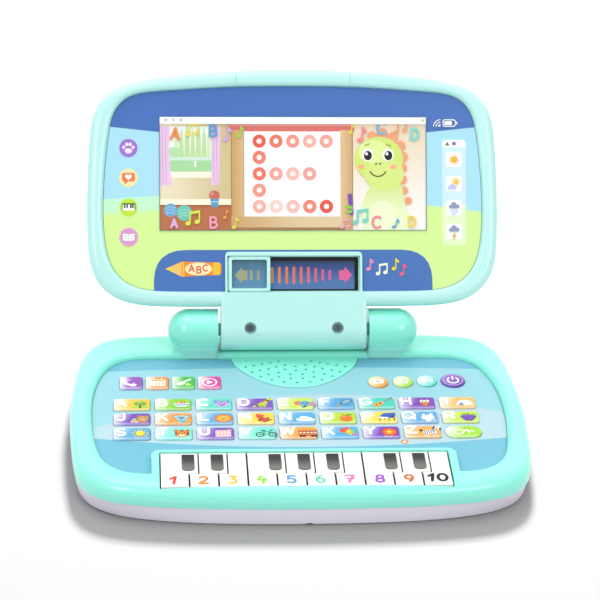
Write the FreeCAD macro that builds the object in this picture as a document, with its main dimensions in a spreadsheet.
import FreeCAD, Part
import math
import os
import Sketcher
from FreeCAD import Vector, Placement, Rotation

# A toy laptop, standing open, in millimetres: a base with letter pads, round and square
# buttons, ten piano keys and a speaker grille, and a lid with a display and a picture slider.
# X runs to the right, Y from the front (keys) to the back (hinge), and Z up from the
# underside. The lid's pieces are built flat about the hinge axis, then tilted up by LidTilt.

os.makedirs("parts", exist_ok=True)
doc = FreeCAD.newDocument("toy_laptop")

# ---------------------------------------------------------------- driving sizes
size = {
    # base shells; names ending in Z, Top, Bottom or Y are positions
    "SeamZ": 12.0, "CrestZ": 24.5, "CrestRound": 9.0, "SheetTop": 20.8, "SheetThick": 1.2,
    "WallThick": 2.4, "FloorThick": 2.2, "BottomRound": 1.3, "InnerRound": 3.0,
    "NotchRound": 3.2, "NotchDeep": 12.0, "CornerLean": 3.0,
    # hinge: barrel on the lid, knuckles on the base
    "HingeY": 69.15, "HingeZ": 38.0, "LidTilt": 60.0, "BarrelRad": 13.0, "BarrelHalf": 45.2,
    "KnuckleIn": 46.8, "KnuckleOut": 77.8, "KnuckleBore": 4.05, "LegFront": 7.2,
    "HingeWall": 2.6, "StubRad": 4.0, "StubLong": 6.6,
    # lid heights, measured from the hinge axis with the lid flat
    "LidFace": 13.0, "LidSplit": 6.0, "LidBack": -2.5, "LidRound": 5.0, "LidTray": 9.2,
    "WindowSheet": 1.2,
    # letter pads, mode pads and round buttons
    "PadTop": 22.0, "PadFlangeThick": 0.8, "PadEdge": 0.45,
    "TileWide": 21.7, "TileDeep": 12.1, "TileStep": 24.6, "TileRow": 16.25,
    "TileX": -1.7, "TileY": -8.65,
    "ModeWide": 13.8, "ModeStep": 15.9, "ModeX": -100.5, "ModeY": 32.5,
    "RoundDia": 12.1, "PowerDia": 14.7,
    # piano keys and their rod
    "KeyPitch": 16.8, "KeyGap": 0.8, "KeyTop": 23.6, "KeyThick": 2.2, "KeySkirt": 3.4,
    "KeyFront": -83.5, "KeyBack": -49.2, "KeyStep": -69.9, "KeyJog": 5.4,
    "RodY": -43.6, "RodZ": 16.6, "RodDia": 3.0, "RodPlay": 0.05, "HubRad": 2.7,
    # slider, electronics, screws
    "SliderWide": 26.0, "SliderDeep": 22.0, "SliderWall": 2.2, "SliderTop": 12.6,
    "BoardBottom": 14.6, "BoardThick": 1.6, "MatTop": 17.7,
    "SpeakerDia": 40.0, "SpeakerY": 45.5,
    "ScrewHead": 5.0, "ScrewShank": 2.5,
    # hairline left between pieces that meet
    "FitGap": 0.02,
}
sheet = doc.addObject("Spreadsheet::Sheet", "Sizes")
for row, (alias, number) in enumerate(size.items(), 1):
    sheet.set("A%d" % row, alias)
    sheet.set("B%d" % row, str(number))
    sheet.setAlias("B%d" % row, alias)
doc.recompute()

GRILLE_BASE = "SheetTop - 3.2"      # underside of the speaker grille
PILOT = "ScrewShank / 2 + 0.05"     # radii of screw holes: threaded, clear and for the head
CLEAR = "ScrewShank / 2 + 0.15"
HEAD_ROOM = "ScrewHead / 2 + 0.4"

# ---------------------------------------------------------------- outlines, points (x, y)
# Half outlines run from the front centre round the right side to the back centre.
BASE_HALF = [
    (0, -90.59), (12.87, -90.53), (25.73, -90.34), (38.59, -90.03), (51.45, -89.55),
    (64.3, -88.87), (77.13, -87.89), (89.92, -86.48), (102.59, -84.29), (114.78, -80.25),
    (125.09, -72.7), (131.39, -61.59), (134.05, -49.02), (135.31, -36.22), (136.21, -23.38),
    (136.91, -10.53), (137.25, 2.33), (136.98, 15.19), (136.22, 28.03), (135.15, 40.85),
    (133.65, 53.63), (130.97, 66.2), (125.23, 77.64), (115.19, 85.49), (102.84, 88.94),
    (90.05, 90.23), (77.19, 90.8), (64.33, 91.08), (51.47, 91.2), (38.6, 91.25),
    (25.73, 91.26), (12.87, 91.27), (0, 91.27)]
# Printed sheet's edge, from beside the keys round to the back.
SHEET_HALF = [
    (88.6, -69.6), (96.5, -69.2), (104.5, -66.8), (111.5, -62.0), (116.8, -54.5),
    (120.4, -43), (122.8, -28), (124.1, -12), (124.4, 4), (123.4, 20), (121.0, 33.5),
    (117.0, 45.5), (110.8, 54.8), (103.0, 60.0), (94.0, 61.9), (80.0, 62.2)]
# Lid outlines have y measured from the hinge axis.
LID_HALF = [
    (0, 14.04), (11.32, 14.04), (22.64, 14.04), (33.96, 14.04), (45.28, 14.04),
    (56.6, 14.04), (67.91, 14.05), (79.23, 14.14), (90.54, 14.71), (101.69, 16.58),
    (112.11, 20.88), (120.35, 28.54), (125.03, 38.77), (126.73, 49.95), (127.29, 61.25),
    (127.41, 72.57), (127.27, 83.89), (126.92, 95.2), (126.4, 106.51), (125.64, 117.8),
    (124.08, 129), (119.62, 139.33), (111.55, 147.16), (101.23, 151.73), (90.24, 154.39),
    (79.06, 156.17), (67.82, 157.5), (56.55, 158.51), (45.25, 159.28), (33.95, 159.84),
    (22.64, 160.22), (11.32, 160.44), (0, 160.51)]
OPEN_HALF = [
    (0, 23.31), (10.28, 23.31), (20.56, 23.32), (30.84, 23.33), (41.12, 23.34),
    (51.39, 23.35), (61.67, 23.37), (71.95, 23.44), (82.23, 23.73), (92.43, 24.91),
    (102.05, 28.38), (109.68, 35.16), (114.2, 44.34), (116.33, 54.38), (117.23, 64.62),
    (117.46, 74.89), (117.21, 85.17), (116.59, 95.43), (115.71, 105.67), (114.59, 115.89),
    (112.9, 126.02), (109.35, 135.62), (102.1, 142.74), (92.35, 145.82), (82.14, 146.93),
    (71.89, 147.69), (61.63, 148.39), (51.37, 149.04), (41.11, 149.56), (30.83, 149.9),
    (20.56, 150.09), (10.28, 150.18), (0, 150.21)]
# Curved edge of the speaker grille, from back left round the front to back right.
GRILLE = [
    (-38.6, 62.9), (-38.2, 59.6), (-36.8, 54.6), (-33.6, 48.6), (-28.6, 42.2), (-21.2, 35.4),
    (-11.0, 29.3), (1, 27.2), (13.0, 29.3), (23.2, 35.4), (30.6, 42.2), (35.6, 48.6),
    (38.8, 54.6), (40.2, 59.6), (40.6, 62.9)]
# Front edge and right side, as far as the back centre; the left side mirrors them.
LEDGE_HALF = [
    (-84, -42.5), (84, -42.5), (84, -40), (113, -40), (117, -24), (118.4, -4), (117.4, 18),
    (112, 38), (104, 50.5), (96, 56), (49, 56), (42, 44), (30, 32.5), (14, 24.5), (0, 22.5)]
BOARD_HALF = [
    (-80, -38.5), (80, -38.5), (110, -37), (113, -20), (114, -4), (113, 16), (108, 34),
    (101, 42), (46, 42), (42, 30), (30, 20), (0, 18.5)]

CASE_SCREWS = [(124, 26), (-124, 26), (104, -72.5), (-104, -72.5), (88, 77), (-88, 77)]
LID_SCREWS = [(-104, 50), (104, 50), (-98, 136), (98, 136)]
BARREL_SCREWS = [(-27.0, 0.6), (27.0, 0.6)]
WELL_Y = -4                         # centre of the battery well
SCREEN_Y = 96.1                     # centre of the screen, from the hinge axis


# ---------------------------------------------------------------- expressions
# Expressions are written in aliases, with a space round every sign.
def bound(text):
    """The expression with the sheet's name before each alias."""
    return " ".join("Sizes." + word if word in size else word for word in text.split())


def value(text):
    """The number that an expression of sums and products gives."""
    total, term = 0.0, 1.0
    for word in text.split():
        if word in ("+", "-"):
            total += term
            term = 1.0 if word == "+" else -1.0
        elif word != "*":
            term *= size[word] if word in size else float(word)
    return total + term


def stepped(start, pitch, count):
    """The expression for a place count pitches on from start."""
    return "%s %s %s * %d" % (start, "+" if count >= 0 else "-", pitch, abs(count))


# ---------------------------------------------------------------- curves
def mirrored(points):
    return [(-x, y) for x, y in reversed(points)]


def closed_points(half):
    return half + mirrored(half[1:-1])


def spline(points, periodic=False):
    curve = Part.BSplineCurve()
    curve.interpolate(Points=[Vector(x, y, 0) for x, y in points], PeriodicFlag=periodic)
    return curve


def line(start, end):
    return Part.LineSegment(Vector(start[0], start[1], 0), Vector(end[0], end[1], 0))


def circle(x, y, radius):
    return Part.Circle(Vector(x, y, 0), Vector(0, 0, 1), radius)


def arc(x, y, radius, start, end):
    """An arc between two angles in degrees."""
    return Part.ArcOfCircle(circle(x, y, radius), math.radians(start), math.radians(end))


def shifted_left(points, distance):
    """An open run of points moved to the left of its direction of travel."""
    moved = []
    for k, (x, y) in enumerate(points):
        before = points[max(k - 1, 0)]
        after = points[min(k + 1, len(points) - 1)]
        dx, dy = after[0] - before[0], after[1] - before[1]
        length = math.hypot(dx, dy)
        moved.append((x - dy / length * distance, y + dx / length * distance))
    return moved


def inset(half, distance, count=72):
    """Half of the closed outline moved inwards, as evenly spaced points."""
    samples = 2000
    curve = spline(closed_points(half), True)
    first, last = curve.FirstParameter, curve.LastParameter
    dense = [curve.value(first + (last - first) * k / samples) for k in range(samples)]
    run = [0.0]
    for k in range(1, samples // 2 + 1):
        run.append(run[-1] + dense[k].distanceToPoint(dense[k - 1]))
    moved = []
    for j in range(count // 2 + 1):
        wanted = run[-1] * j / (count // 2)
        k = min(range(len(run)), key=lambda q: abs(run[q] - wanted))
        along = dense[k + 1] - dense[k - 1]
        along.normalize()
        moved.append((dense[k].x - along.y * distance, dense[k].y + along.x * distance))
    moved[0] = (0.0, moved[0][1])
    moved[-1] = (0.0, moved[-1][1])
    return moved


# ---------------------------------------------------------------- sketches
def new_body(name):
    return doc.addObject("PartDesign::Body", name)


def sketch(body, name, z="0", role="XY_Plane"):
    sk = body.newObject("Sketcher::SketchObject", name)
    plane = [f for f in body.Origin.OriginFeatures if f.Role == role][0]
    sk.AttachmentSupport = [(plane, "")]
    sk.MapMode = "FlatFace"
    sk.setExpression("AttachmentOffset.Base.z", bound(z))
    return sk


def add_closed(sk, half):
    sk.addGeometry(spline(closed_points(half), True), False)


def add_polygon(sk, points):
    for start, end in zip(points, points[1:] + points[:1]):
        sk.addGeometry(line(start, end), False)


def add_rect(sk, x, y, wide, deep, radius):
    """A rounded rectangle centred on x, y."""
    x0, x1, y0, y1 = x - wide / 2, x + wide / 2, y - deep / 2, y + deep / 2
    xa, xb, ya, yb = x0 + radius, x1 - radius, y0 + radius, y1 - radius
    sk.addGeometry([
        line((xa, y0), (xb, y0)), line((x1, ya), (x1, yb)),
        line((xb, y1), (xa, y1)), line((x0, yb), (x0, ya)),
        arc(xa, ya, radius, 180, 270), arc(xb, ya, radius, 270, 360),
        arc(xb, yb, radius, 0, 90), arc(xa, yb, radius, 90, 180)], False)


def bind(sk, constraint, text):
    index = sk.addConstraint(constraint)
    sk.setExpression("Constraints[%d]" % index, bound(text))


def add_sized_rect(sk, wide, deep, radius):
    """A rounded rectangle about the sketch's origin, its sides bound to expressions."""
    add_rect(sk, 0, 0, value(wide), value(deep), radius)
    rule = Sketcher.Constraint
    # lines: 0 front, 1 right, 2 back, 3 left; arcs 4 to 7 from front left, anticlockwise
    joints = ((4, 2, 0, 1), (5, 1, 0, 2), (5, 2, 1, 1), (6, 1, 1, 2),
              (6, 2, 2, 1), (7, 1, 2, 2), (7, 2, 3, 1), (4, 1, 3, 2))
    rules = [rule("Tangent", *joint) for joint in joints]
    rules += [rule("Horizontal", 0), rule("Horizontal", 2),
              rule("Vertical", 1), rule("Vertical", 3),
              rule("Equal", 4, 5), rule("Equal", 5, 6), rule("Equal", 6, 7),
              rule("Symmetric", 4, 3, 6, 3, -1, 1)]
    sk.addConstraint(rules)
    sk.addConstraint(rule("Radius", 4, radius))
    bind(sk, rule("DistanceX", 3, 1, 1, 1, value(wide)), wide)
    bind(sk, rule("DistanceY", 0, 1, 2, 2, value(deep)), deep)


def add_sized_circle(sk, x, y, diameter):
    """A circle with its diameter bound to an expression."""
    index = sk.addGeometry(circle(x, y, value(diameter) / 2), False)
    if x == 0 and y == 0:
        sk.addConstraint(Sketcher.Constraint("Coincident", index, 3, -1, 1))
    bind(sk, Sketcher.Constraint("Diameter", index, value(diameter)), diameter)


# ---------------------------------------------------------------- body features
def pad(body, sk, length, reverse=False, midplane=False):
    feature = body.newObject("PartDesign::Pad", sk.Name + "_pad")
    feature.Profile = sk
    feature.setExpression("Length", bound(length))
    feature.Reversed = reverse
    if midplane:
        feature.Midplane = True
    doc.recompute()
    return feature


def pocket(body, sk, length=None, up=False):
    """Cuts down from the sketch, or up when asked; through everything with no length."""
    before = body.Shape.Volume
    feature = body.newObject("PartDesign::Pocket", sk.Name + "_cut")
    feature.Profile = sk
    if length is None:
        feature.Type = 1
        feature.Midplane = True
    else:
        feature.setExpression("Length", bound(length))
        feature.Reversed = up
    doc.recompute()
    if not body.Shape.Volume < before - 1e-3:
        raise RuntimeError("no cut: " + feature.Name)
    return feature


def fillet(body, base, chosen, radius, name):
    """Rounds those edges of the base feature that pass the test."""
    edges = ["Edge%d" % k for k, e in enumerate(base.Shape.Edges, 1) if chosen(e)]
    feature = body.newObject("PartDesign::Fillet", name)
    feature.Base = (base, edges)
    feature.setExpression("Radius", bound(radius))
    doc.recompute()
    if "Invalid" in feature.State or feature.Shape.isNull() or not feature.Shape.isValid():
        raise RuntimeError("fillet failed: %s %d edges" % (name, len(edges)))


def flat_at(z):
    """A test for edges that lie level at height z."""
    return lambda e: abs(e.BoundBox.ZMin - z) < 0.01 and abs(e.BoundBox.ZMax - z) < 0.01


# ---------------------------------------------------------------- primitives
ALONG_X = Rotation(Vector(0, 1, 0), 90)


def prim(kind, name, place, turn=None, **props):
    """A Part primitive; properties given as text are bound as expressions."""
    solid = doc.addObject("Part::" + kind, name)
    for prop, setting in props.items():
        if isinstance(setting, str):
            solid.setExpression(prop, bound(setting))
        else:
            setattr(solid, prop, setting)
    solid.Placement = Placement(Vector(*place), turn or Rotation())
    return solid


def bind_axis(solid, axis):
    """Keeps a solid on the Hinge or the Rod axis."""
    solid.setExpression("Placement.Base.y", bound(axis + "Y"))
    solid.setExpression("Placement.Base.z", bound(axis + "Z"))


def fuse(name, solids):
    union = doc.addObject("Part::MultiFuse", name)
    union.Shapes = solids
    union.Refine = False
    return union


def cut(name, base, tool):
    result = doc.addObject("Part::Cut", name)
    result.Base = base
    result.Tool = tool
    return result


def sum_less_voids(name, adds, voids):
    return cut(name, fuse(name + "_sum", adds), fuse(name + "_voids", voids))


def place_on_lid(piece):
    """Swings a piece built flat about the hinge axis into the open lid."""
    piece.Placement = Placement(Vector(0, size["HingeY"], size["HingeZ"]),
                                Rotation(Vector(1, 0, 0), size["LidTilt"]))
    bind_axis(piece, "Hinge")
    piece.setExpression("Placement.Rotation.Angle", bound("LidTilt"))


def screw_set(name, spots, length):
    """Cross-slot screws; each spot is x, y, z under the head, and whether it points up."""
    head_high, slot_deep, slot_long, slot_wide = 1.8, 0.9, 3.0, 0.6
    slot_high = slot_deep + 0.1
    screws = []
    for k, (x, y, z, points_up) in enumerate(spots):
        head_z = z - head_high if points_up else z
        shank_z = z if points_up else z - length
        slot_z = z - head_high - 0.1 if points_up else z + head_high - slot_deep
        head = prim("Cylinder", "%s_head_%d" % (name, k), (x, y, head_z),
                    Radius="ScrewHead / 2", Height=head_high)
        shank = prim("Cylinder", "%s_shank_%d" % (name, k), (x, y, shank_z),
                     Radius="ScrewShank / 2", Height=length)
        slots = [prim("Box", "%s_slot_%d" % (name, k), (x - a / 2, y - b / 2, slot_z),
                      Length=a, Width=b, Height=slot_high)
                 for a, b in ((slot_long, slot_wide), (slot_wide, slot_long))]
        screws.append(sum_less_voids("%s_screw_%d" % (name, k), [head, shank], slots))
    group = doc.addObject("Part::Compound", name)
    group.Links = screws
    return group


# ================================================================ base, top shell
def add_sheet_edge(sk, clear):
    """The printed sheet's outline, drawn in by clear, with a notch round the keys."""
    right = shifted_left(SHEET_HALF, clear)
    side_x, front_y = SHEET_HALF[0][0] + clear, right[0][1]
    right[0] = (side_x, front_y)
    left = mirrored(right)
    radius = 4.8 + clear
    notch_y = -46.8 + clear
    arc_x, arc_y = side_x - radius, notch_y - radius
    sk.addGeometry([
        spline(right), line(right[-1], left[0]), spline(left),
        line(left[-1], (-side_x, arc_y)), arc(-arc_x, arc_y, radius, 90, 180),
        line((-arc_x, notch_y), (arc_x, notch_y)),
        arc(arc_x, arc_y, radius, 0, 90), line((side_x, arc_y), (side_x, front_y))], False)


def add_grille_edge(sk, grow, back):
    """The grille's curved edge, grown outwards, and squared off at the back."""
    curve = shifted_left(GRILLE, -grow)
    back_left, back_right = (curve[0][0], back), (curve[-1][0], back)
    sk.addGeometry([spline(curve), line(curve[-1], back_right),
                    line(back_right, back_left), line(back_left, curve[0])], False)


def add_rim_ring(sk):
    """The band between the base's wall and the printed sheet, open at the front."""
    front_y = -58
    outer = [p for p in inset(BASE_HALF, 3.8, 96) if p[1] > front_y and p[0] > 0.5]
    inner = shifted_left(SHEET_HALF, -2.6)
    back_y = inner[-1][1]
    inner = [p for p in inner if p[1] > front_y]
    inner += [(x, back_y) for x in (65.0, 50.0, 35.0, 20.0, 7.0)]
    outer += mirrored(outer)
    inner += mirrored(inner)
    sk.addGeometry([spline(outer), line(outer[-1], inner[-1]),
                    spline(list(reversed(inner))), line(inner[0], outer[0])], False)


def sound_holes():
    """Hole centres in arcs (radius, count) that fan out from the back."""
    holes = []
    for radius, count in ((9.0, 5), (13.6, 7), (18.2, 8), (22.8, 10), (27.4, 11)):
        for k in range(count):
            angle = math.radians(-70 + 140 * k / (count - 1))
            holes.append((1.0 + 1.2 * radius * math.sin(angle),
                          60.4 - 1.04 * radius * math.cos(angle)))
    return holes


def base_top_body():
    body = new_body("base_top_body")
    at_crest = flat_at(size["CrestZ"])
    sk = sketch(body, "top_outline", "SeamZ")
    add_closed(sk, BASE_HALF)
    fillet(body, pad(body, sk, "CrestZ - SeamZ"), at_crest, "CrestRound", "crest_round")

    # recess for the printed sheet, rounded except along the notch by the keys
    def recess_edge(e):
        box = e.BoundBox
        by_keys = abs(box.XMax) < 95 and abs(box.XMin) < 95 and box.YMax < -40
        return at_crest(e) and not by_keys

    sk = sketch(body, "sheet_recess", "CrestZ")
    add_sheet_edge(sk, 0.3)
    recess = pocket(body, sk, "CrestZ - SheetTop + SheetThick")
    fillet(body, recess, recess_edge, "InnerRound", "recess_round")

    # key opening through the front
    sk = sketch(body, "key_opening", "CrestZ")
    front, back = size["KeyFront"] - 0.6, size["KeyBack"] + 0.5
    add_rect(sk, 0, (front + back) / 2, 10 * size["KeyPitch"] + 0.8, back - front, 0.8)
    pocket(body, sk, "CrestZ - SeamZ")

    # inside hollow, in two steps
    sk = sketch(body, "inside", "SeamZ")
    add_closed(sk, inset(BASE_HALF, size["WallThick"]))
    pocket(body, sk, "5.6", up=True)
    sk = sketch(body, "rim_hollow", "SeamZ + 5.6")
    add_rim_ring(sk)
    pocket(body, sk, "4.0", up=True)

    # opening under the sheet, leaving a ledge that carries it
    sk = sketch(body, "ledge_opening", "CrestZ")
    add_polygon(sk, LEDGE_HALF + mirrored(LEDGE_HALF[2:-1]))
    pocket(body, sk, "CrestZ - SeamZ")

    # slots that let the key arms and hubs pass under the bridge behind the keys
    sk = sketch(body, "arm_slots", "SeamZ")
    for k in range(10):
        add_rect(sk, (k - 4.5) * size["KeyPitch"], -45.6, 12.4, 6.6, 0.4)
    pocket(body, sk, "SheetTop + 0.2 - SeamZ", up=True)

    # raised speaker grille with its sound holes
    at_grille_top = flat_at(size["SheetTop"] + 0.9)
    sk = sketch(body, "grille_island", GRILLE_BASE)
    add_grille_edge(sk, 0.0, 66.0)
    fillet(body, pad(body, sk, "4.1"), lambda e: at_grille_top(e) and e.BoundBox.YMin < 30,
           "0.8", "grille_round")
    sk = sketch(body, "sound_holes", "CrestZ")
    for x, y in sound_holes():
        sk.addGeometry(circle(x, y, 0.7), False)
    pocket(body, sk, "CrestZ - SeamZ")

    # room for the speaker below the grille
    sk = sketch(body, "speaker_room", GRILLE_BASE)
    sk.addGeometry(circle(0, size["SpeakerY"], size["SpeakerDia"] / 2 - 2.2), False)
    pocket(body, sk, "2.4", up=True)
    return body


def knuckle(name, side, end_wall, wall, leg_wall, bottom):
    """A knuckle's barrel, ball end and leg, made smaller by the given walls."""
    hinge_y, hinge_z = size["HingeY"], size["HingeZ"]
    ball_x = side * (size["KnuckleOut"] - size["BarrelRad"])
    low_x = min(ball_x, side * (size["KnuckleIn"] + end_wall))
    long = "KnuckleOut - BarrelRad - KnuckleIn - %s" % end_wall
    radius = "BarrelRad - %s" % wall
    high = "HingeZ - %s" % bottom
    barrel = prim("Cylinder", name + "_barrel", (low_x, hinge_y, hinge_z), ALONG_X,
                  Radius=radius, Height=long)
    ball = prim("Sphere", name + "_ball", (ball_x, hinge_y, hinge_z), Radius=radius)
    bind_axis(barrel, "Hinge")
    bind_axis(ball, "Hinge")
    leg_y = hinge_y - (size["LegFront"] - leg_wall)
    leg = prim("Box", name + "_leg", (low_x, leg_y, bottom), Length=long,
               Width="BarrelRad + LegFront - %s - %s" % (wall, leg_wall), Height=high)
    foot = prim("Cylinder", name + "_foot", (ball_x, hinge_y, bottom),
                Radius="LegFront - %s" % leg_wall, Height=high)
    return [barrel, ball, leg, foot]


def base_top_shell():
    adds, voids = [base_top_body()], []
    for name, side in (("right", 1), ("left", -1)):
        adds += knuckle("knuckle_" + name, side, 0.0, 0.0, 0.0, 19.4)
        voids += knuckle("knuckle_in_" + name, side, 4.0, size["HingeWall"], 2.4, 15.0)
        bore = prim("Cylinder", "knuckle_bore_" + name,
                    (side * 49 - 4, size["HingeY"], size["HingeZ"]), ALONG_X,
                    Radius="KnuckleBore", Height=8.0)
        bind_axis(bore, "Hinge")
        voids.append(bore)
    # bosses for the case screws, taller at the back
    for k, (x, y) in enumerate(CASE_SCREWS):
        adds.append(prim("Cylinder", "top_boss_%d" % k, (x, y, 12.05),
                         Radius=3.6, Height=9.8 if y > 60 else 6.2))
        voids.append(prim("Cylinder", "top_pilot_%d" % k, (x, y, 12.0),
                          Radius=PILOT, Height=5.4))
    # lugs that carry the key rod
    for name, x in (("right", 84.7), ("left", -88.7)):
        adds.append(prim("Box", "rod_lug_" + name, (x, size["RodY"] - 3.2, size["RodZ"] - 3.0),
                         Length=4.0, Width=6.4, Height=4.2))
    seat = prim("Cylinder", "rod_seat", (-87.4, size["RodY"], size["RodZ"]), ALONG_X,
                Radius="RodDia / 2 + 0.02", Height=174.8)
    bind_axis(seat, "Rod")
    voids.append(seat)
    return sum_less_voids("base_top_shell", adds, voids)


# ================================================================ base, bottom shell
def leaned(gap, corner):
    """The base outline moved in by gap, and by up to corner more at its four corners."""
    points = []
    for (x, y), (x1, y1) in zip(inset(BASE_HALF, 0.0), inset(BASE_HALF, 1.0)):
        shift = gap + corner * min(1.0, 3.4 * (x / 137.3) ** 4 * (y / 91.0) ** 4)
        points.append((x + (x1 - x) * shift, y + (y1 - y) * shift))
    return points


def base_bottom_shell():
    body = new_body("base_bottom_body")
    corner = size["CornerLean"]
    floor = sketch(body, "bottom_outline", "0")
    add_closed(floor, leaned(1.0 + size["BottomRound"], corner))
    chamfer = sketch(body, "chamfer_outline", "BottomRound")
    add_closed(chamfer, leaned(1.15, corner * 0.9))
    seam = sketch(body, "seam_outline", "SeamZ - FitGap")
    add_closed(seam, leaned(1.0, 0.0))
    loft = body.newObject("PartDesign::AdditiveLoft", "leaning_walls")
    loft.Profile = floor
    loft.Sections = [chamfer, seam]
    loft.Ruled = True
    doc.recompute()
    sk = sketch(body, "bottom_inside", "SeamZ")
    add_closed(sk, leaned(1.0 + size["WallThick"], corner))
    pocket(body, sk, "SeamZ - FloorThick")

    # battery well with a stepped mouth for its door
    sk = sketch(body, "well_block", "0")
    add_rect(sk, 0, WELL_Y, 44, 56, 2.5)
    pad(body, sk, "14.0")
    sk = sketch(body, "well_room", "0")
    add_rect(sk, 0, WELL_Y, 38, 50, 1.5)
    pocket(body, sk, "12.9", up=True)
    sk = sketch(body, "door_seat", "0")
    add_rect(sk, 0, WELL_Y, 41.6, 53.6, 2.0)
    pocket(body, sk, "2.0", up=True)

    adds, voids = [body], []
    for k, (x, y) in enumerate(CASE_SCREWS):
        adds.append(prim("Cylinder", "bottom_post_%d" % k, (x, y, 0.6),
                         Radius=4.4, Height=11.3))
        voids.append(prim("Cylinder", "bottom_cbore_%d" % k, (x, y, -0.1),
                          Radius=HEAD_ROOM, Height=7.1))
        voids.append(prim("Cylinder", "bottom_hole_%d" % k, (x, y, 6.0),
                          Radius=CLEAR, Height=7.0))
    voids.append(prim("Cylinder", "front_notch", (1.5, -96.0, -1.4),
                      Rotation(Vector(1, 0, 0), -90),
                      Radius="NotchRound", Height="NotchDeep + 5.0"))
    return sum_less_voids("base_bottom_shell", adds, voids)


def battery_door():
    body = new_body("battery_door")
    sk = sketch(body, "door_outline", "0.3")
    add_rect(sk, 0, WELL_Y, 41.0, 53.0, 1.8)
    pad(body, sk, "1.65")
    sk = sketch(body, "door_grips", "0.3")
    for k in range(5):
        add_rect(sk, 0, -22.5 + 3.0 * k, 14, 1.2, 0.5)
    pocket(body, sk, "0.6", up=True)
    return body


# ================================================================ printed sheet and buttons
def button_table():
    """Rows of name, x, y, width, depth, corner radius and corner radius of the sheet's hole.

    Places and sizes are expressions. Round buttons have their diameter as width only.
    """
    rows = []
    names = ["letter_" + letter for letter in "abcdefghijklmnopqrstuvwxyz"] + ["oval"]
    for k, name in enumerate(names):
        corner, hole_corner = 1.7, 1.95
        if name == "oval":
            corner = size["TileDeep"] / 2 - 0.05
            hole_corner = (size["TileDeep"] + 0.5) / 2 - 0.01
        rows.append(("pad_" + name, stepped("TileX", "TileStep", k % 9 - 4),
                     stepped("TileY", "TileRow", 1 - k // 9),
                     "TileWide", "TileDeep", corner, hole_corner))
    for k, name in enumerate(("phone", "calendar", "paint", "play")):
        rows.append(("pad_mode_" + name, stepped("ModeX", "ModeStep", k), "ModeY",
                     "ModeWide", "ModeWide", 1.6, 1.85))
    for name, x, y, diameter in (("story", "50.8", "32.3", "RoundDia"),
                                 ("music", "66.1", "32.5", "RoundDia"),
                                 ("volume", "80.8", "33.0", "RoundDia"),
                                 ("power", "97.1", "33.6", "PowerDia")):
        rows.append(("button_" + name, x, y, diameter, None, None, None))
    return rows


BUTTONS = button_table()


def keypad_sheet():
    body = new_body("keypad_sheet")
    sk = sketch(body, "sheet_outline", "SheetTop - SheetThick")
    add_sheet_edge(sk, 0.55)
    pad(body, sk, "SheetThick")
    sk = sketch(body, "sheet_holes", "SheetTop")
    play = 0.5
    for name, x, y, wide, deep, corner, hole_corner in BUTTONS:
        if deep:
            add_rect(sk, value(x), value(y), value(wide) + play, value(deep) + play,
                     hole_corner)
        else:
            sk.addGeometry(circle(value(x), value(y), (value(wide) + play) / 2), False)
    pocket(body, sk, "SheetThick")
    sk = sketch(body, "sheet_grille", "SheetTop")
    add_grille_edge(sk, 0.35, 70.0)
    pocket(body, sk, "SheetThick")
    return body


def button(name, x, y, wide, deep, corner):
    """A cap that stands through the sheet, on a flange below it."""
    body = new_body(name)
    flange = sketch(body, name + "_flange_outline",
                    "SheetTop - SheetThick - 0.2 - PadFlangeThick")
    if deep:
        add_sized_rect(flange, wide + " + 1.6", deep + " + 1.6", corner + 0.6)
    else:
        add_sized_circle(flange, 0, 0, wide + " + 1.6")
    pad(body, flange, "PadFlangeThick")
    cap = sketch(body, name + "_cap_outline", "SheetTop - SheetThick - 0.3")
    if deep:
        add_sized_rect(cap, wide, deep, corner)
    else:
        add_sized_circle(cap, 0, 0, wide)
    fillet(body, pad(body, cap, "PadTop - SheetTop + SheetThick + 0.3"),
           flat_at(size["PadTop"]), "PadEdge", name + "_edge")
    body.Placement = Placement(Vector(value(x), value(y), 0), Rotation())
    body.setExpression("Placement.Base.x", bound(x))
    body.setExpression("Placement.Base.y", bound(y))
    return body


# ================================================================ inside the base
def add_board_edge(sk):
    add_polygon(sk, BOARD_HALF + mirrored(BOARD_HALF[2:-1]))


def contact_mat():
    body = new_body("contact_mat")
    sk = sketch(body, "mat_outline", "BoardBottom + BoardThick + FitGap")
    add_board_edge(sk)
    pad(body, sk, "MatTop - BoardBottom - BoardThick - FitGap")
    return body


def main_board():
    body = new_body("main_board")
    sk = sketch(body, "board_outline", "BoardBottom")
    add_board_edge(sk)
    pad(body, sk, "BoardThick")
    # chips and a capacitor on the underside, beside the battery well
    sk = sketch(body, "board_chips", "BoardBottom")
    add_rect(sk, 44, -8, 16, 16, 0.6)
    add_rect(sk, -46, 0, 10, 6, 0.4)
    add_rect(sk, 70, -12, 5, 8, 0.4)
    pad(body, sk, "1.8", reverse=True)
    sk = sketch(body, "board_capacitor", "BoardBottom")
    sk.addGeometry(circle(-60, -20, 6.3 / 2), False)
    pad(body, sk, "7.5", reverse=True)
    return body


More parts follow.
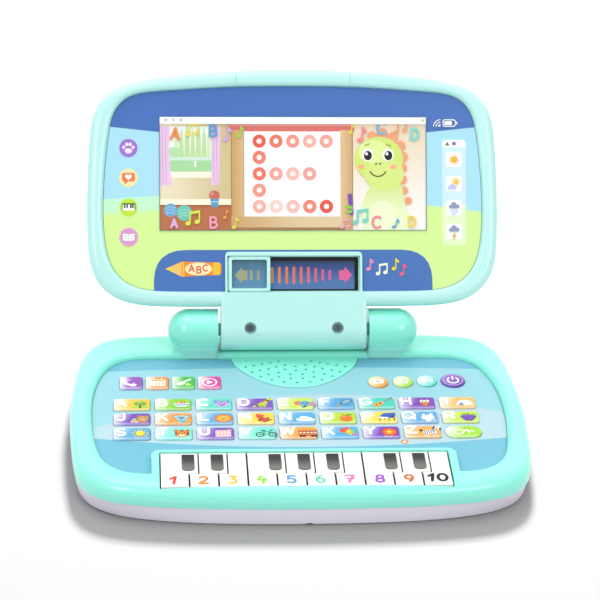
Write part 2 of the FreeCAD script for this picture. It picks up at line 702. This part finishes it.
def speaker():
    """Basket flange, magnet and cone in one revolved piece."""
    body = new_body("speaker")
    sk = sketch(body, "speaker_profile", "0", role="XZ_Plane")
    top = value(GRILLE_BASE)
    radius = size["SpeakerDia"] / 2
    # distance from the axis, depth below the grille's underside
    profile = [(0, 8.6), (9, 8.6), (9, 4.6), (14, 4.0), (radius - 2.4, 1.9), (radius, 1.9),
               (radius, size["FitGap"]), (radius - 2.4, size["FitGap"]), (radius - 3.4, 0.8),
               (7, 2.9), (5.0, 2.3), (0, 1.7)]
    add_polygon(sk, [(x, top - depth) for x, depth in profile])
    turned = body.newObject("PartDesign::Revolution", "speaker_turn")
    turned.Profile = sk
    turned.ReferenceAxis = (sk, ["V_Axis"])
    turned.Angle = 360
    doc.recompute()
    body.Placement = Placement(Vector(0, size["SpeakerY"], 0), Rotation())
    return body


def case_screws():
    return screw_set("case_screws", [(x, y, 7.0, True) for x, y in CASE_SCREWS], 10.2)


# ================================================================ piano keys
# Boundaries, counted from the left, where the back part of the key steps to the right.
JOGGED = {1, 2, 4, 5, 6, 8, 9}


def key_rod():
    rod = prim("Cylinder", "key_rod", (-87.2, size["RodY"], size["RodZ"]), ALONG_X,
               Radius="RodDia / 2", Height=174.4)
    bind_axis(rod, "Rod")
    return rod


def piano_key(k):
    name = "piano_key_%02d" % (k + 1)
    pitch, half_gap, jog = size["KeyPitch"], size["KeyGap"] / 2, size["KeyJog"]
    front, back, step = size["KeyFront"], size["KeyBack"], size["KeyStep"]
    rod_y, rod_z = size["RodY"], size["RodZ"]
    centre = (k - 4.5) * pitch
    # sides about the key's own centre, at the front and at the back
    left, right = half_gap - pitch / 2, pitch / 2 - half_gap
    back_left = left + (jog if k in JOGGED else 0)
    back_right = right + (jog if k + 1 in JOGGED else 0)
    body = new_body(name)

    sk = sketch(body, name + "_plate", "KeyTop - KeyThick")
    points = [(left, front), (right, front), (right, step)]
    if k + 1 in JOGGED:
        points.append((back_right, step))
    points += [(back_right, back), (back_left, back)]
    if k in JOGGED:
        points += [(back_left, step - 2 * half_gap), (left, step - 2 * half_gap)]
    add_polygon(sk, points)
    fillet(body, pad(body, sk, "KeyThick"), flat_at(size["KeyTop"]), "0.35", name + "_edge")

    # skirt below the plate, set in from its edges
    sk = sketch(body, name + "_skirt", "KeyTop - KeyThick")
    low_x, high_x = max(left, back_left) + 0.6, min(right, back_right) - 0.6
    low_y, high_y = front + 0.6, back - 0.3
    add_rect(sk, (low_x + high_x) / 2, (low_y + high_y) / 2,
             high_x - low_x, high_y - low_y, 0.4)
    pad(body, sk, "KeySkirt", reverse=True)

    # arm back to the rod, with its hub
    sk = sketch(body, name + "_arm", "0", role="YZ_Plane")
    skirt_z = value("KeyTop - KeyThick - KeySkirt")
    add_polygon(sk, [(back - 4.0, skirt_z + 2.8), (back - 4.0, skirt_z),
                     (rod_y - 1.0, rod_z - 1.6), (rod_y - 1.0, rod_z + 1.6),
                     (back - 0.6, skirt_z + 2.8)])
    pad(body, sk, "9.0", midplane=True)
    sk = sketch(body, name + "_hub", "0", role="YZ_Plane")
    add_sized_circle(sk, rod_y, rod_z, "HubRad * 2")
    pad(body, sk, "11.0", midplane=True)
    sk = sketch(body, name + "_bore", "0", role="YZ_Plane")
    add_sized_circle(sk, rod_y, rod_z, "RodDia + RodPlay * 2")
    pocket(body, sk)
    body.Placement = Placement(Vector(centre, 0, 0), Rotation())
    return body


# ================================================================ lid, front shell
def lid_front_body():
    body = new_body("lid_front_body")
    at_face = flat_at(size["LidFace"])
    sk = sketch(body, "lid_outline", "LidSplit")
    add_closed(sk, LID_HALF)
    fillet(body, pad(body, sk, "LidFace - LidSplit"), at_face, "LidRound", "lid_round")

    def opening_edge(e):
        box = e.BoundBox
        return at_face(e) and (abs(box.XMax - 117.2) < 2 or (box.YMin > 20 and box.YMax < 151))

    sk = sketch(body, "lid_opening", "LidFace")
    add_closed(sk, OPEN_HALF)
    fillet(body, pocket(body, sk, "LidFace - LidTray"), opening_edge, "2.8",
           "lid_inner_round")

    # tray floor: thinned from behind, with the screen window cut through
    sk = sketch(body, "lid_tray_back", "LidSplit")
    add_closed(sk, inset(OPEN_HALF, 2.0))
    pocket(body, sk, "LidTray - LidSplit - 1.6", up=True)
    sk = sketch(body, "screen_window", "LidFace")
    add_rect(sk, 0, SCREEN_Y, 166, 71, 3)
    pocket(body, sk, "LidFace - LidSplit")

    # rim hollow
    sk = sketch(body, "lid_rim_hollow", "LidSplit")
    add_closed(sk, inset(LID_HALF, 2.2))
    add_closed(sk, inset(OPEN_HALF, -1.6))
    pocket(body, sk, "4.2", up=True)
    return body


def slider_house():
    body = new_body("slider_house_body")
    front, back = 15.0, 47.7
    sk = sketch(body, "slider_house", "LidSplit")
    add_rect(sk, 0, (front + back) / 2, 85.0, back - front, 2.6)
    fillet(body, pad(body, sk, "LidFace - LidSplit"), flat_at(size["LidFace"]), "0.9",
           "house_round")
    return body


def hinge_block():
    """The front half of the barrel, squared off towards the slider housing."""
    body = new_body("hinge_block_body")
    radius, split, far_y = size["BarrelRad"], size["LidSplit"], 23.0
    split_y = -math.sqrt(radius * radius - split * split)
    split_angle = 180 - math.degrees(math.asin(split / radius))
    sk = sketch(body, "block_profile", "0", role="YZ_Plane")
    sk.addGeometry([line((split_y, split), (far_y, split)),
                    line((far_y, split), (far_y, radius)), line((far_y, radius), (0, radius)),
                    arc(0, 0, radius, 90, split_angle)], False)
    at_split, at_top = flat_at(split), flat_at(radius)

    def end_edge(e):
        box = e.BoundBox
        on_end = abs(abs(box.Center.x) - size["BarrelHalf"]) < 0.01 and box.XLength < 0.01
        return on_end and (at_top(e) or (box.YMax < far_y - 0.1 and not at_split(e)))

    fillet(body, pad(body, sk, "BarrelHalf * 2", midplane=True), end_edge, "1.5",
           "block_round")
    return body


def lid_front_shell():
    adds = [lid_front_body(), slider_house(), hinge_block()]
    # slider track: the mouth, and a wider groove at its floor
    voids = [prim("Box", "track_mouth", (-41.0, 22.9, 7.7), Length=82.0, Width=22.4, Height=8.0),
             prim("Box", "track_groove", (-41.0, 21.6, 7.7), Length=82.0, Width=25.0, Height=1.7)]
    for k, (x, y) in enumerate(BARREL_SCREWS):
        voids.append(prim("Cylinder", "block_recess_%d" % k, (x, y, 9.9),
                          Radius=3.7, Height=6.0))
        voids.append(prim("Cylinder", "block_hole_%d" % k, (x, y, 5.0),
                          Radius=CLEAR, Height=6.0))
    # screw posts that reach back to the rear shell
    for k, (x, y) in enumerate(LID_SCREWS):
        adds.append(prim("Cylinder", "front_post_%d" % k, (x, y, 4.0), Radius=3.4, Height=4.2))
        voids.append(prim("Cylinder", "front_pilot_%d" % k, (x, y, 3.9),
                          Radius=PILOT, Height=4.2))
    shell = sum_less_voids("lid_front_shell", adds, voids)
    place_on_lid(shell)
    return shell


# ================================================================ lid, back shell
def barrel_back():
    """The rear half of the barrel, with its web up to the shell."""
    body = new_body("barrel_back_body")
    radius, split = size["BarrelRad"], size["LidSplit"] - size["FitGap"]
    web_y, web_z = 21.0, size["LidBack"] + 0.4
    split_y = -math.sqrt(radius * radius - split * split)
    split_angle = 180 - math.degrees(math.asin(split / radius))
    end_angle = 360 - 38
    arc_end = (radius * math.cos(math.radians(end_angle)),
               radius * math.sin(math.radians(end_angle)))
    sk = sketch(body, "barrel_profile", "0", role="YZ_Plane")
    sk.addGeometry([arc(0, 0, radius, split_angle, end_angle), line(arc_end, (web_y, web_z)),
                    line((web_y, web_z), (web_y, split)),
                    line((web_y, split), (split_y, split))], False)
    fillet(body, pad(body, sk, "BarrelHalf * 2", midplane=True),
           lambda e: e.Curve.TypeId == "Part::GeomCircle" and e.BoundBox.XLength < 0.01,
           "0.8", "barrel_round")
    return body


def lid_back_shell():
    back = size["LidBack"]
    body = new_body("lid_back_body")
    sk = sketch(body, "back_outline", "LidBack")
    add_closed(sk, LID_HALF)
    fillet(body, pad(body, sk, "LidSplit - LidBack - FitGap"), flat_at(back), "4.5",
           "back_round")
    sk = sketch(body, "back_inside", "LidSplit")
    add_closed(sk, inset(LID_HALF, 2.2))
    pocket(body, sk, "LidSplit - LidBack - 2.2")

    # stubs that turn in the knuckles; each is rooted 1.2 inside the barrel's end
    root = 1.2
    adds = [body, barrel_back()]
    for name, x in (("right", 44.0), ("left", -44.0 - size["StubLong"] - root)):
        adds.append(prim("Cylinder", "stub_" + name, (x, 0, 0), ALONG_X,
                         Radius="StubRad", Height="StubLong + %s" % root))

    # the barrel is hollow between its end walls, apart from the two screw posts
    hollow = prim("Cylinder", "barrel_hollow_round", (-41.2, 0, 0), ALONG_X,
                  Radius="BarrelRad - HingeWall", Height=82.4)
    posts = [prim("Cylinder", "barrel_post_%d" % k, (x, y, -12.0), Radius=3.6, Height=24.0)
             for k, (x, y) in enumerate(BARREL_SCREWS)]
    voids = [cut("barrel_hollow", hollow, fuse("barrel_posts", posts))]
    for k, (x, y) in enumerate(BARREL_SCREWS):
        voids.append(prim("Cylinder", "barrel_pilot_%d" % k, (x, y, -3.5),
                          Radius=PILOT, Height=10.0))
    for k, (x, y) in enumerate(LID_SCREWS):
        adds.append(prim("Cylinder", "back_post_%d" % k, (x, y, back + 0.5),
                         Radius=4.0, Height=3.96 - back - 0.5))
        voids.append(prim("Cylinder", "back_cbore_%d" % k, (x, y, back - 0.1),
                          Radius=HEAD_ROOM, Height=2.9))
        voids.append(prim("Cylinder", "back_hole_%d" % k, (x, y, back),
                          Radius=CLEAR, Height=8.0))
    shell = sum_less_voids("lid_back_shell", adds, voids)
    place_on_lid(shell)
    return shell


# ================================================================ other pieces on the lid
def display_window():
    body = new_body("display_window")
    sk = sketch(body, "window_outline", "LidTray + FitGap")
    add_closed(sk, inset(OPEN_HALF, 0.3))
    pad(body, sk, "WindowSheet")
    # notch round the slider housing
    sk = sketch(body, "window_notch", "LidTray + WindowSheet + FitGap")
    add_rect(sk, 0, 33.0, 85.6, 30.2, 2.9)
    pocket(body, sk, "WindowSheet")
    place_on_lid(body)
    return body


def light_board():
    """The board behind the screen, with a five by five grid of emitters."""
    body = new_body("light_board")
    sk = sketch(body, "light_outline", "3.2")
    add_rect(sk, 0, SCREEN_Y, 176, 78, 1.5)
    pad(body, sk, "1.6")
    sk = sketch(body, "light_emitters", "4.8")
    for i in range(5):
        for j in range(5):
            add_rect(sk, -20.5 + 10.3 * i, 76.0 + 9.9 * j, 3.2, 3.2, 0.4)
    pad(body, sk, "0.9")
    place_on_lid(body)
    return body


def lid_screws():
    spots = [(x, y, 9.92, False) for x, y in BARREL_SCREWS]
    spots += [(x, y, size["LidBack"] + 2.8, True) for x, y in LID_SCREWS]
    screws = screw_set("lid_screws", spots, 5.0)
    place_on_lid(screws)
    return screws


def picture_slider():
    """An open frame with two retaining lips, at the left end of its track."""
    body = new_body("picture_slider")
    sk = sketch(body, "slider_outline", "7.9")
    add_rect(sk, 0, 0, size["SliderWide"], 24.4, 0.6)
    pad(body, sk, "1.3")
    sk = sketch(body, "slider_frame", "9.0")
    add_sized_rect(sk, "SliderWide", "SliderDeep", 1.8)
    fillet(body, pad(body, sk, "SliderTop - 9.0"), flat_at(size["SliderTop"]), "0.7",
           "slider_round")
    sk = sketch(body, "slider_window", "SliderTop")
    add_sized_rect(sk, "SliderWide - SliderWall * 2", "SliderDeep - SliderWall * 2", 1.0)
    pocket(body, sk, "SliderTop - 7.7")
    on_lid = Placement(Vector(0, size["HingeY"], size["HingeZ"]),
                       Rotation(Vector(1, 0, 0), size["LidTilt"]))
    in_track = Placement(Vector(-41.0 + 0.5 + size["SliderWide"] / 2, 34.1, 0), Rotation())
    body.Placement = on_lid.multiply(in_track)
    return body


# ---------------------------------------------------------------- build, check and write
pieces = [base_top_shell(), base_bottom_shell(), battery_door(), keypad_sheet()]
pieces += [button(*row[:6]) for row in BUTTONS]
pieces += [contact_mat(), main_board(), speaker(), case_screws(), key_rod()]
pieces += [piano_key(k) for k in range(10)]
pieces += [lid_front_shell(), lid_back_shell(), display_window(), light_board(),
           lid_screws(), picture_slider()]

doc.recompute()
failed = [o.Label for o in doc.Objects if "Invalid" in o.State or "Error" in o.State]
if failed:
    raise RuntimeError("objects not computed: %s" % failed)
for piece in pieces:
    if piece.Shape.isNull() or not piece.Shape.isValid():
        raise RuntimeError("bad shape: " + piece.Label)
    piece.Shape.exportStep("parts/%s.step" % piece.Label)
